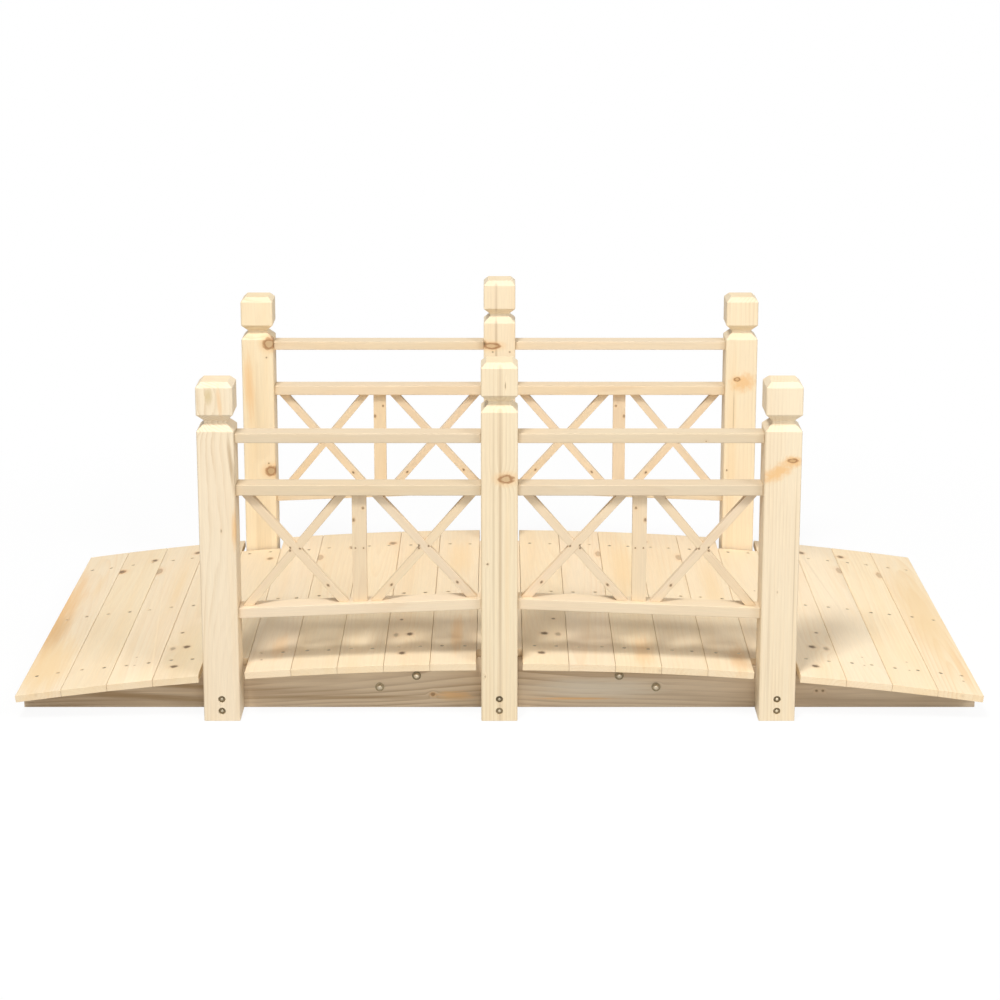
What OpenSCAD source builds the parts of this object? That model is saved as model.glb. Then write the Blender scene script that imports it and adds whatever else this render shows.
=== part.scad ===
// Arched wooden garden bridge with a railing on each side.
// X runs along the bridge, Y across it and Z up. The origin lies on the ground at the middle of the bridge.
// The front railing is the one on the -Y side.

/* [Bridge] */
// Length of the deck along the bridge
bridge_l = 1500; // [1200:10:1700]
// Width across the deck and over the posts
bridge_w = 670; // [560:5:900]

/* [Beams] */
// Thickness of each beam
beam_t = 44; // [30:1:60]
// Height of a beam at the ends of the deck
beam_end_h = 30; // [24:1:45]
// Rise of the arched top from the ends to the middle
beam_rise = 53; // [40:1:70]
// Distance of a beam's ends inside the ends of the deck
beam_inset = 2; // [0:0.5:12]
// Place of the joint between a side beam's two lengths, from the middle of the bridge
joint_x = 29; // [0:1:60]
// Length of the board that joins the two lengths of a beam
splice_l = 520; // [460:5:600]
// Thickness of that board
splice_t = 20; // [14:1:28]
// Height of its underside above the ground
splice_z = 14; // [8:1:20]
// Distance of its top below the beam's top at its far end
splice_margin = 7; // [3:0.5:12]

/* [Deck] */
// Number of boards
board_count = 21; // [17:2:23]
// Thickness of a board
board_t = 11; // [8:0.5:18]
// Gap between neighbouring boards
board_gap = 0.4; // [0.2:0.1:3]
// Chamfer along the edges of a board
board_chamfer = 0.7; // [0.3:0.1:2.5]
// Boards from the middle of one post to the middle of the next
boards_per_bay = 6; // [5:1:7]
// Gap between a post and the end of the short board behind it
short_board_gap = 6; // [2:0.5:12]
// Clear space kept beside a post where it passes a deck board
post_clear = 4; // [2:0.5:7]

/* [Posts] */
// Side of the square posts
post_t = 56; // [44:1:70]
// Height of the posts at the ends of a railing
end_post_h = 540; // [480:5:640]
// Extra height of the middle post
centre_post_extra = 30; // [0:1:60]
// Height of the cap above the groove
cap_h = 50; // [36:1:64]
// Chamfer round the top of the cap
cap_chamfer = 8; // [3:0.5:14]
// Depth of the groove under the cap, with sides at 45 degrees
groove_depth = 11; // [6:0.5:14]
// Height of the plain neck in the groove
neck_h = 4; // [2:0.5:10]
// Chamfer along the upright edges of a post
post_arris = 1.5; // [0.5:0.1:4]

/* [Railing] */
// Depth of the rails across the bridge
rail_d = 32; // [22:1:40]
// Height of the top rail
top_rail_h = 15; // [12:0.5:22]
// Height of the middle rail
mid_rail_h = 17; // [12:0.5:24]
// Height of the lower rail
low_rail_h = 17; // [12:0.5:24]
// Distance of the top rail below the shoulder of the end posts
top_rail_drop = 6; // [2:0.5:16]
// Space between the top rail and the middle rail
rail_space = 66; // [40:1:90]
// Space between the deck and the lower rail at a post
low_rail_rise = 84; // [60:1:110]
// Width of a baluster along the bridge
baluster_w = 22; // [14:0.5:34]
// Width of a brace
brace_w = 12.5; // [9:0.5:18]
// Thickness of the balusters and braces across the bridge
brace_t = 12; // [8:0.5:18]
// Distance of a brace's centre line from the post or baluster, measured along the rail
brace_inset = 14; // [11:0.5:20]

/* [Hidden] */
// Clearance between the deck boards and the arched top of the beams
seat = 0.1;
// Overlap that carries a cut past the face it opens
cut = 1;
// Facets of the large arc along the tops of the beams
arc_fn = 720;

post_wood = "#e3c492";
rail_wood = "#dcb987";
brace_wood = "#d8b27c";
deck_wood = "#e6c999";
beam_wood = "#c79a5f";

// Arc of the beams' top, about an axis across the bridge
beam_mid_h = beam_end_h + beam_rise;
arc_r = ((bridge_l / 2) ^ 2 + beam_rise ^ 2) / (2 * beam_rise);
arc_z = beam_mid_h - arc_r;
function beam_top(x) = arc_z + sqrt(arc_r ^ 2 - x ^ 2);

// Deck boards stand side by side round that arc
deck_r = arc_r + seat + board_t;
pitch_angle = 2 * asin(bridge_l / 2 / deck_r) / board_count;
board_w = 2 * (arc_r + seat) * tan(pitch_angle / 2) - board_gap;
middle_board = (board_count + 1) / 2;
function deck_top(x) = arc_z + sqrt(deck_r ^ 2 - x ^ 2);

// Rows of posts and beams
post_x = deck_r * sin(boards_per_bay * pitch_angle);
rail_y = (bridge_w - post_t) / 2;
beam_y = bridge_w / 2 - post_t - beam_t / 2;
beam_end_x = bridge_l / 2 - beam_inset;
splice_h = beam_top(joint_x + splice_l / 2) - splice_margin - splice_z;

// Heights of the railing
groove_h = 2 * groove_depth + neck_h;
top_rail_z = end_post_h - cap_h - groove_h - top_rail_drop - top_rail_h;
mid_rail_z = top_rail_z - rail_space - mid_rail_h;

// One bay lies between the facing sides of two posts and is halved by its baluster
bay_start = post_t / 2;
bay_end = post_x - post_t / 2;
baluster_x = (bay_start + bay_end) / 2;

// Underside of the straight lower rail, which follows the deck from post to post
low_rail_slope = (deck_top(bay_end) - deck_top(bay_start)) / (bay_end - bay_start);
function low_rail_z(x) = deck_top(bay_start) + low_rail_rise + (x - bay_start) * low_rail_slope;
function low_rail_top(x) = low_rail_z(x) + low_rail_h;

function board_name(i) = str("deck_board_", i < 10 ? "0" : "", i);

// An outline in X and Z as a plate of thickness d, centred on the plane Y = 0
module upright_plate(d) {
    rotate([90, 0, 0])
        linear_extrude(height = d, center = true)
            children();
}

// Both bays of one railing
module both_bays() {
    children();
    mirror([1, 0, 0])
        children();
}

// Places a railing's pieces on the front or the rear side
module front_side() {
    translate([0, -rail_y, 0])
        children();
}

module rear_side() {
    translate([0, rail_y, 0])
        children();
}

// Side view of a turned-in post: shaft, groove, neck and chamfered cap
module post_outline(h) {
    half = post_t / 2;
    neck = half - groove_depth;
    shoulder = h - cap_h - groove_h;
    right_side = [
        [half, 0],
        [half, shoulder],
        [neck, shoulder + groove_depth],
        [neck, shoulder + groove_depth + neck_h],
        [half, h - cap_h],
        [half, h - cap_chamfer],
        [half - cap_chamfer, h]
    ];
    last = len(right_side) - 1;
    left_side = [for (i = [last : -1 : 0]) [-right_side[i].x, right_side[i].y]];
    polygon(concat(right_side, left_side));
}

// Square section of a post with its upright edges broken
module post_section() {
    half = post_t / 2;
    flat = half - post_arris;
    polygon([
        [half, -flat], [half, flat], [flat, half], [-flat, half],
        [-half, flat], [-half, -flat], [-flat, -half], [flat, -half]
    ]);
}

module post(h) {
    color(post_wood)
        intersection() {
            upright_plate(post_t + 2 * cut)
                post_outline(h);
            rotate([0, 0, 90])
                upright_plate(post_t + 2 * cut)
                    post_outline(h);
            linear_extrude(height = h)
                post_section();
        }
}

module end_post(side) {
    translate([side * post_x, 0, 0])
        post(end_post_h);
}

module centre_post() {
    post(end_post_h + centre_post_extra);
}

// Level rail in each bay, from post to post
module level_rails(z, h) {
    color(rail_wood)
        both_bays()
            translate([bay_start, -rail_d / 2, z])
                cube([bay_end - bay_start, rail_d, h]);
}

module top_rails() {
    level_rails(top_rail_z, top_rail_h);
}

module middle_rails() {
    level_rails(mid_rail_z, mid_rail_h);
}

// Sloping rail in each bay, with its ends cut upright against the posts
module lower_rails() {
    color(rail_wood)
        both_bays()
            upright_plate(rail_d)
                polygon([
                    [bay_start, low_rail_z(bay_start)],
                    [bay_end, low_rail_z(bay_end)],
                    [bay_end, low_rail_top(bay_end)],
                    [bay_start, low_rail_top(bay_start)]
                ]);
}

// Outline of the field between the lower and the middle rail, from x0 to x1
module rail_field(x0, x1) {
    polygon([
        [x0, low_rail_top(x0)],
        [x1, low_rail_top(x1)],
        [x1, mid_rail_z],
        [x0, mid_rail_z]
    ]);
}

module railing_balusters() {
    color(brace_wood)
        both_bays()
            upright_plate(brace_t)
                rail_field(baluster_x - baluster_w / 2, baluster_x + baluster_w / 2);
}

// Side view of a brace that leans from foot_x on the lower rail to head_x under the middle rail
module brace_outline(x0, x1, foot_x, head_x) {
    foot = [foot_x, low_rail_top(foot_x)];
    run = [head_x, mid_rail_z] - foot;
    intersection() {
        rail_field(x0, x1);
        translate(foot)
            rotate(atan2(run.y, run.x))
                translate([-norm(run) / 2, -brace_w / 2])
                    square([2 * norm(run), brace_w]);
    }
}

// One brace of the cross in the field from x0 to x1. Where the two braces cross, each is halved:
// the outward one on its +Y side and the inward one on its -Y side.
module brace(x0, x1, outward) {
    near = x0 + brace_inset;
    far = x1 - brace_inset;
    foot_x = outward ? near : far;
    head_x = outward ? far : near;
    lap_side = outward ? 1 : -1;
    difference() {
        upright_plate(brace_t)
            brace_outline(x0, x1, foot_x, head_x);
        translate([0, lap_side * brace_t / 2, 0])
            upright_plate(brace_t)
                brace_outline(x0, x1, head_x, foot_x);
    }
}

// The like braces of the two fields in each bay
module braces(outward) {
    color(brace_wood)
        both_bays() {
            brace(bay_start, baluster_x - baluster_w / 2, outward);
            brace(baluster_x + baluster_w / 2, bay_end, outward);
        }
}

// Length of beam from x0 to x1, flat below and arched on top
module beam(x0, x1, y) {
    color(beam_wood)
        intersection() {
            translate([0, y, arc_z])
                rotate([90, 0, 0])
                    cylinder(r = arc_r, h = beam_t + 2 * cut, center = true, $fn = arc_fn);
            translate([x0, y - beam_t / 2, 0])
                cube([x1 - x0, beam_t, beam_mid_h + cut]);
        }
}

module beam_left(y, joint) {
    beam(-beam_end_x, joint, y);
}

module beam_right(y, joint) {
    beam(joint, beam_end_x, y);
}

// Board that joins the two lengths of a beam, with its near face on the plane Y = y
module splice_board(y, joint) {
    translate([joint - splice_l / 2, y, splice_z])
        cube([splice_l, splice_t, splice_h]);
}

// One on the inner face of each side beam and one on the rear face of the middle beam
module splice_boards() {
    color(beam_wood) {
        splice_board(-beam_y + beam_t / 2, joint_x);
        splice_board(beam_t / 2, joint_x);
        splice_board(beam_y - beam_t / 2 - splice_t, -joint_x);
    }
}

// End view of a board with its long edges broken, its underside on Y = 0
module board_outline() {
    half = board_w / 2;
    c = board_chamfer;
    polygon([
        [half - c, 0], [half, c], [half, board_t - c], [half - c, board_t],
        [c - half, board_t], [-half, board_t - c], [-half, c], [c - half, 0]
    ]);
}

// Openings round the posts for the boards on either side of them
module post_openings() {
    side = post_t + 2 * post_clear;
    for (x = [-post_x, 0, post_x], y = [-rail_y, rail_y])
        translate([x - side / 2, y - side / 2, 0])
            cube([side, side, end_post_h]);
}

// A board at a post ends behind it, and its neighbours clear it
module deck_board(i) {
    offset = i - middle_board;
    from_post = min([for (n = [-1 : 1]) abs(offset - n * boards_per_bay)]);
    short_l = bridge_w - 2 * (post_t + short_board_gap);
    color(deck_wood)
        difference() {
            translate([0, 0, arc_z])
                rotate([0, offset * pitch_angle, 0])
                    translate([0, 0, arc_r + seat])
                        upright_plate(from_post == 0 ? short_l : bridge_w)
                            board_outline();
            if (from_post == 1)
                post_openings();
        }
}

front_side() end_post(-1);  // front_left_post
front_side() centre_post();  // front_centre_post
front_side() end_post(1);  // front_right_post
rear_side() end_post(-1);  // rear_left_post
rear_side() centre_post();  // rear_centre_post
rear_side() end_post(1);  // rear_right_post
front_side() top_rails();  // front_top_rails
front_side() middle_rails();  // front_middle_rails
front_side() lower_rails();  // front_lower_rails
rear_side() top_rails();  // rear_top_rails
rear_side() middle_rails();  // rear_middle_rails
rear_side() lower_rails();  // rear_lower_rails
front_side() railing_balusters();  // balusters
rear_side() railing_balusters();  // balusters
front_side() braces(true);  // front_outward_braces
front_side() braces(false);  // front_inward_braces
rear_side() braces(true);  // rear_outward_braces
rear_side() braces(false);  // rear_inward_braces
beam_left(-beam_y, joint_x);  // front_beam_left
beam_right(-beam_y, joint_x);  // front_beam_right
beam_left(0, joint_x);  // middle_beam_left
beam_right(0, joint_x);  // middle_beam_right
beam_left(beam_y, -joint_x);  // rear_beam_left
beam_right(beam_y, -joint_x);  // rear_beam_right
splice_boards();
for (i = [1 : board_count])
    deck_board(i);
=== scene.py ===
"""Looks of the arched garden bridge: planed softwood, fasteners, light and camera round the frame."""
import math
import random
from collections import namedtuple

import bmesh
import bpy
import numpy as np
from mathutils import Matrix, Vector


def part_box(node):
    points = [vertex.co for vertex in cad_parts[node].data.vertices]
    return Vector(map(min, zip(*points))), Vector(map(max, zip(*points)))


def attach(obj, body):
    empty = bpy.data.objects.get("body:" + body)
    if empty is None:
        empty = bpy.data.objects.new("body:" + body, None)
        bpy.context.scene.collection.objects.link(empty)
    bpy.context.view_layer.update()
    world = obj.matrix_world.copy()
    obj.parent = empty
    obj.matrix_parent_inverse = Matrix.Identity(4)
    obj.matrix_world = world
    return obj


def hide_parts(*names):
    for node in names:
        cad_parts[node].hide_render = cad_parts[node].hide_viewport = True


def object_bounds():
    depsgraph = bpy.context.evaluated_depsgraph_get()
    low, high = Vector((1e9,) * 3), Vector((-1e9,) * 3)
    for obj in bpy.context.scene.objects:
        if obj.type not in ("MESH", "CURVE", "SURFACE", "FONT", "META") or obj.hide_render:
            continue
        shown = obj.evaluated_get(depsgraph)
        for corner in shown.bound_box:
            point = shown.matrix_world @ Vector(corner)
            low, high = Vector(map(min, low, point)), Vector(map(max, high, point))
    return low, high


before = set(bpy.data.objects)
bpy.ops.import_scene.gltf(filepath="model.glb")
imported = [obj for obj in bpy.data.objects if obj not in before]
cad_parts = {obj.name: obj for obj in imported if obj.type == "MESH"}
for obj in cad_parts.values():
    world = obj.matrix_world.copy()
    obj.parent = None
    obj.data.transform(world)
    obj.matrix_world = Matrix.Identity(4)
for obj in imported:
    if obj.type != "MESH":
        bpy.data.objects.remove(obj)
cad_low, cad_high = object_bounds()
DRAW_SEED = 21
draw = random.Random(DRAW_SEED)

MM = 0.001
BODY = "root"
BOARDS = sorted(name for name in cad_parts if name.startswith("deck_board_"))
POSTS = [f"{side}_{spot}_post" for side in ("front", "rear") for spot in ("left", "centre", "right")]
BEAMS = [f"{row}_beam_{half}" for row in ("front", "middle", "rear") for half in ("left", "right")]
LEVEL_RAILS = [f"{side}_{level}_rails" for side in ("front", "rear") for level in ("top", "middle")]
LOWER_RAILS = ["front_lower_rails", "rear_lower_rails"]
BRACES = [f"{side}_{lean}_braces" for side in ("front", "rear") for lean in ("outward", "inward")]

# Directions
LENGTHWISE = (1, 0, 0)
CROSSWISE = (0, 1, 0)
UPWARD = (0, 0, 1)
FRONT = (0, -1, 0)

# Rows and faces that the fasteners sit on, read from the frame
FRONT_BEAM_LOW, FRONT_BEAM_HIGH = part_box("front_beam_left")
BEAM_ROW_Y = (FRONT_BEAM_LOW.y + FRONT_BEAM_HIGH.y) / 2
BEAM_FACE_Y = FRONT_BEAM_LOW.y
BEAM_BACK_Y = FRONT_BEAM_HIGH.y
BEAM_T = BEAM_BACK_Y - BEAM_FACE_Y
JOINT_X = FRONT_BEAM_HIGH.x
# Thickness of the boards behind the beams' joints
SPLICE_T = 20 * MM

# How far the edges are eased
DECK_EASED = 0.35 * MM
POST_EASED = 1.0 * MM
RAIL_EASED = 1.2 * MM
BRACE_EASED = 0.6 * MM
BEAM_EASED = 0.8 * MM

# Deck screws. Across is a share of the board's width, and wander is how far a screw strays
SCREW_D = 6.4 * MM
SCREW_HOLE_D = 6.8 * MM
SCREW_SUNK = 0.5 * MM
SCREW_HOLE_DEPTH = 2.0 * MM
SCREW_ACROSS = 0.24
SCREW_WANDER = 2.5 * MM
# Shares of a screw head's diameter
SCREW_EDGE_R = 0.5
SCREW_NECK_R = 0.3
SCREW_TALL = 0.3
RECESS_LONG = 0.62
RECESS_WIDE = 0.13

# Bolts at the posts' feet. The tip is a share of the bolt, and a washer's sizes of its hole and its bolt.
# The washer fills the bottom of the hole, and its dark plating is partly painted shade of the hole.
POST_HOLE_D = 11.5 * MM
POST_HOLE_DEPTH = 3.5 * MM
POST_BOLT_D = 4.4 * MM
POST_BOLT_SUNK = 1.0 * MM
POST_BOLT_Z = (16.3 * MM, 35.5 * MM)
BOLT_TIP = 0.14
WASHER_T = 1.2 * MM
WASHER_FILL = 0.96
WASHER_GRIP = 0.9

# Bolts at the beams' joints. Their places are from the joint along the beam, and above the ground
BEAM_BOLT_D = 10.0 * MM
BEAM_BOLT_H = 4.0 * MM
# The dark washer under each bolt head is partly painted shade, a ring of shadow round the head
BEAM_WASHER_D = 14.0 * MM
NUT_D = 11.5 * MM
NUT_H = 5.5 * MM
STUD_D = 6.0 * MM
STUD_L = 9.0 * MM
BEAM_BOLT_INNER = (159 * MM, 53 * MM)
BEAM_BOLT_OUTER = (217 * MM, 34 * MM)

# How light single heads are against their plating, and the sides of round shapes
HEAD_TONES = (0.75, 1.35)
ROUND_SIDES = 24
SCREW_SIDES = 20
WASHER_SIDES = 28
STUD_SIDES = 20
NUT_SIDES = 6
DOME_RINGS = 12

# Softwood colours, linear
HONEY = (0.84, 0.61, 0.33, 1)
ROSE = (0.83, 0.62, 0.42, 1)
PITH_BROWN = (0.46, 0.30, 0.17, 1)
KNOT_BROWN = (0.115, 0.062, 0.020, 1)
KNOT_RIM = (0.34, 0.155, 0.06, 1)
RESIN = (0.82, 0.51, 0.23, 1)
BARK = (0.40, 0.26, 0.13, 1)
OLIVE = (0.60, 0.46, 0.21, 1)
PALE_GREY = (0.82, 0.75, 0.61, 1)
AMBER = (0.64, 0.41, 0.19, 1)


# Scene helpers

def new_object(name, data):
    """An object that is linked to the scene."""
    made = bpy.data.objects.new(name, data)
    bpy.context.scene.collection.objects.link(made)
    return made


def mesh_of(shape, name):
    """Turns a finished bmesh into a mesh."""
    mesh = bpy.data.meshes.new(name)
    shape.to_mesh(mesh)
    shape.free()
    return mesh


def new_material(name):
    """A material, its tree and its shader."""
    material = bpy.data.materials.new(name)
    material.use_nodes = True
    return material, material.node_tree, material.node_tree.nodes["Principled BSDF"]


# Node helpers

def put(tree, socket, value):
    """Links an output to a socket, or writes a plain value on it."""
    if isinstance(value, bpy.types.NodeSocket):
        tree.links.new(value, socket)
    else:
        socket.default_value = value


def place(tree, kind, inputs=None, **settings):
    """A new node with its settings and inputs."""
    made = tree.nodes.new(kind)
    for name, value in settings.items():
        setattr(made, name, value)
    for key, value in (inputs or {}).items():
        put(tree, made.inputs[key], value)
    return made


def calc(tree, operation, *values, clamp=False):
    made = place(tree, "ShaderNodeMath", dict(enumerate(values)), operation=operation, use_clamp=clamp)
    return made.outputs[0]


def times(tree, first, second, clamp=False):
    return calc(tree, "MULTIPLY", first, second, clamp=clamp)


def xyz_of(tree, vector):
    return place(tree, "ShaderNodeSeparateXYZ", {0: vector}).outputs


def vector_from(tree, x=0.0, y=0.0, z=0.0):
    return place(tree, "ShaderNodeCombineXYZ", {"X": x, "Y": y, "Z": z}).outputs[0]


def vector_calc(tree, operation, *values):
    made = place(tree, "ShaderNodeVectorMath", dict(enumerate(values)), operation=operation)
    return made.outputs["Value" if operation == "LENGTH" else "Vector"]


def step(tree, value, low, high, to_low=0.0, to_high=1.0):
    """Smooth step from to_low to to_high while value goes from low to high."""
    ends = {"Value": value, "From Min": low, "From Max": high, "To Min": to_low, "To Max": to_high}
    return place(tree, "ShaderNodeMapRange", ends, interpolation_type="SMOOTHSTEP").outputs[0]


def fade(tree, value, low, high):
    """Smooth fall from 1 to 0 while value goes from low to high."""
    return step(tree, value, low, high, 1.0, 0.0)


def mix_colour(tree, factor, first, second, blend="MIX"):
    ends = {0: factor, 6: first, 7: second}
    return place(tree, "ShaderNodeMix", ends, data_type="RGBA", blend_type=blend).outputs[2]


def noise(tree, vector, scale, detail=2.0, roughness=0.5):
    ends = {"Vector": vector, "Scale": scale, "Detail": detail, "Roughness": roughness}
    return place(tree, "ShaderNodeTexNoise", ends, noise_dimensions="3D").outputs["Fac"]


def group(name, inputs, outputs, family="ShaderNodeTree"):
    """A node group with named sockets, its input sockets and its output sockets."""
    tree = bpy.data.node_groups.new(name, family)
    for label, kind in inputs:
        tree.interface.new_socket(label, in_out="INPUT", socket_type=kind)
    for label, kind in outputs:
        tree.interface.new_socket(label, in_out="OUTPUT", socket_type=kind)
    return tree, tree.nodes.new("NodeGroupInput").outputs, tree.nodes.new("NodeGroupOutput").inputs


def use(tree, node_group, **inputs):
    """Places a group, its inputs named with underscores for spaces, and returns its outputs."""
    made = place(tree, "ShaderNodeGroup", node_tree=node_group)
    for key, value in inputs.items():
        put(tree, made.inputs[key.replace("_", " ")], value)
    return made.outputs


def attribute(tree, name, output="Vector"):
    return place(tree, "ShaderNodeAttribute", attribute_name=name).outputs[output]


def four_channels(tree, name):
    """The red, green, blue and alpha of a colour attribute."""
    made = place(tree, "ShaderNodeAttribute", attribute_name=name)
    split = place(tree, "ShaderNodeSeparateColor", {0: made.outputs["Color"]}).outputs
    return [split[0], split[1], split[2], made.outputs["Alpha"]]


VALUE = "NodeSocketFloat"
VECTOR = "NodeSocketVector"
COLOUR = "NodeSocketColor"
WHOLE_NUMBER = "NodeSocketInt"
GEOMETRY = "NodeSocketGeometry"
MATERIAL = "NodeSocketMaterial"


# Softwood

# Where the parts of a knot fade in or out, in its radii, and where it does in its depth
KNOT_CORE = (0.4, 1.0)
RIM_STARTS = (0.5, 0.8)
RIM_ENDS = (0.9, 1.4)
KNOT_HALO = (0.6, 2.6)
KNOT_DEEP = (0.75, 1.0)
# How fast the bend of the rings round a knot fades, and how far they bend
PULL_FADE = -0.22
KNOT_PULL = 7 * MM
KNOTS_A_PIECE = 4
KNOT_SLOTS = [f"knot_{n + 1}" for n in range(KNOTS_A_PIECE)]
STAINS_A_PIECE = 4
STAIN_SLOTS = [f"stain_{n + 1}" for n in range(STAINS_A_PIECE)]
# Place of a knot or stain that a piece doesn't have
FAR_AWAY = 99.0


def make_knot_group():
    """One branch knot. Its place is measured from its middle, in radii along and across the grain."""
    tree, start, end = group(
        "branch_knot",
        [("Place", VECTOR), ("Seed", VALUE)],
        [("Core", VALUE), ("Rim", VALUE), ("Halo", VALUE), ("Pull", VALUE)],
    )
    split = xyz_of(tree, start["Place"])
    own = vector_calc(tree, "ADD", start["Place"], vector_from(tree, start["Seed"], start["Seed"]))
    ragged = noise(tree, own, scale=1.1, detail=3.0, roughness=0.6)
    flat = vector_from(tree, split[0], split[1])
    wobble = calc(tree, "SUBTRACT", ragged, 0.5)
    away = calc(tree, "ADD", vector_calc(tree, "LENGTH", flat), wobble)
    within = fade(tree, calc(tree, "ABSOLUTE", split[2]), *KNOT_DEEP)
    parts = {
        "Core": fade(tree, away, *KNOT_CORE),
        "Rim": times(tree, step(tree, away, *RIM_STARTS), fade(tree, away, *RIM_ENDS)),
        "Halo": fade(tree, away, *KNOT_HALO),
        "Pull": calc(tree, "EXPONENT", times(tree, calc(tree, "POWER", away, 2.0), PULL_FADE)),
    }
    for label, value in parts.items():
        put(tree, end[label], times(tree, value, within))
    return tree


# Scale of the grain's parts along and across it, per metre
DRIFT_SCALE = (2.2, 5.0)
WAVER_SCALE = (5.0, 55.0)
UNEVEN_SCALE = (3.5, 22.0)
STREAK_SCALE = (2.2, 40.0)
FIBRE_SCALE = (26.0, 620.0)
PATCH_SCALE = (3.0, 11.0)
# Where their noise sets in and is full
UNEVEN_SPAN = (0.34, 0.66)
STREAK_SPAN = (0.42, 0.74)
PATCH_SPAN = (0.40, 0.72)
FIBRE_SPAN = (0.3, 0.7)
# How much late wood the weakest stretch of a ring keeps
UNEVEN_LEAST = 0.15
# A ring darkens slowly to its late wood and ends at once
LATE_RISE = 2.2
LATE_FALL = (0.86, 1.0)
RING_WAVER = 2.2 * MM
PITH_LINE = (0.5 * MM, 4.0 * MM)
# How far apart the noise of single pieces is, for each step of their seeds
SEED_STEP = 3.7


def make_figure_group():
    """Growth rings round a pith that wanders along the piece, streaks and fibres, all along the grain."""
    tree, start, end = group(
        "growth_rings",
        [("Grain", VECTOR), ("Seed", VALUE), ("Pith", VECTOR), ("Ring", VECTOR), ("Pull", VALUE)],
        [("Late", VALUE), ("Pith Line", VALUE), ("Streak", VALUE), ("Fibre", VALUE), ("Patch", VALUE)],
    )
    split, pith, ring = (xyz_of(tree, start[label]) for label in ("Grain", "Pith", "Ring"))
    apart = times(tree, start["Seed"], SEED_STEP)
    own = vector_calc(tree, "ADD", start["Grain"], vector_from(tree, apart))

    def stretched(along, across, detail=2.0, roughness=0.5):
        squeezed = vector_calc(tree, "MULTIPLY", own, (along, across, across))
        return noise(tree, squeezed, 1.0, detail, roughness)

    # A pith that leans away from the face makes the rings meet it in long arches
    drift = calc(tree, "MULTIPLY_ADD", stretched(*DRIFT_SCALE), 2.0, -1.0)
    sag = times(tree, drift, ring[2])
    from_y = calc(tree, "ADD", calc(tree, "SUBTRACT", split[1], pith[0]), sag)
    depth = calc(tree, "ADD", calc(tree, "SUBTRACT", split[2], pith[1]), sag)
    from_z = calc(tree, "MULTIPLY_ADD", split[0], pith[2], depth)
    squares = calc(tree, "ADD", calc(tree, "POWER", from_y, 2.0), calc(tree, "POWER", from_z, 2.0))
    radius = calc(tree, "SQRT", squares)
    pulled = calc(tree, "ADD", radius, start["Pull"])
    waver = calc(tree, "MULTIPLY_ADD", stretched(*WAVER_SCALE), RING_WAVER, pulled)
    phase = calc(tree, "FRACT", calc(tree, "DIVIDE", waver, ring[0]))
    rise = calc(tree, "POWER", phase, LATE_RISE)
    fall = fade(tree, phase, *LATE_FALL)
    uneven = step(tree, stretched(*UNEVEN_SCALE), *UNEVEN_SPAN, to_low=UNEVEN_LEAST)
    late = times(tree, times(tree, rise, fall), uneven)
    put(tree, end["Late"], times(tree, late, ring[1], clamp=True))
    put(tree, end["Pith Line"], fade(tree, radius, *PITH_LINE))
    put(tree, end["Streak"], step(tree, stretched(*STREAK_SCALE, detail=3.0, roughness=0.6), *STREAK_SPAN))
    put(tree, end["Fibre"], stretched(*FIBRE_SCALE, roughness=0.6))
    put(tree, end["Patch"], step(tree, stretched(*PATCH_SCALE), *PATCH_SPAN))
    return tree


# How strongly the marks show over the plain wood, and what fibres and single pieces do to its colour
PITH_SHOWS = 0.28
HALO_SHOWS = 0.6
RIM_SHOWS = 0.8
FIBRE_SHADE = (0.97, 1.02)
WARM_TINT = (1.0, 0.985, 0.95, 1)
COOL_TINT = (1.0, 1.0, 1.03, 1)
# Outline of a stain: how ragged it is, the grain of that, and where it fades, in its half sizes
STAIN_FRAY = 1.1
STAIN_GRAIN = (1.3, 2.6, 1.0)
STAIN_FADE = (0.15, 1.0)
# Roughness of planed wood, what fibres and sawn ends add, and the relief against that of the fibres
PLANED_ROUGH = 0.46
FIBRE_ROUGH = 0.2
SAWN_ROUGH = 0.2
RING_RELIEF = 0.6
KNOT_RELIEF = -0.7


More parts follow.
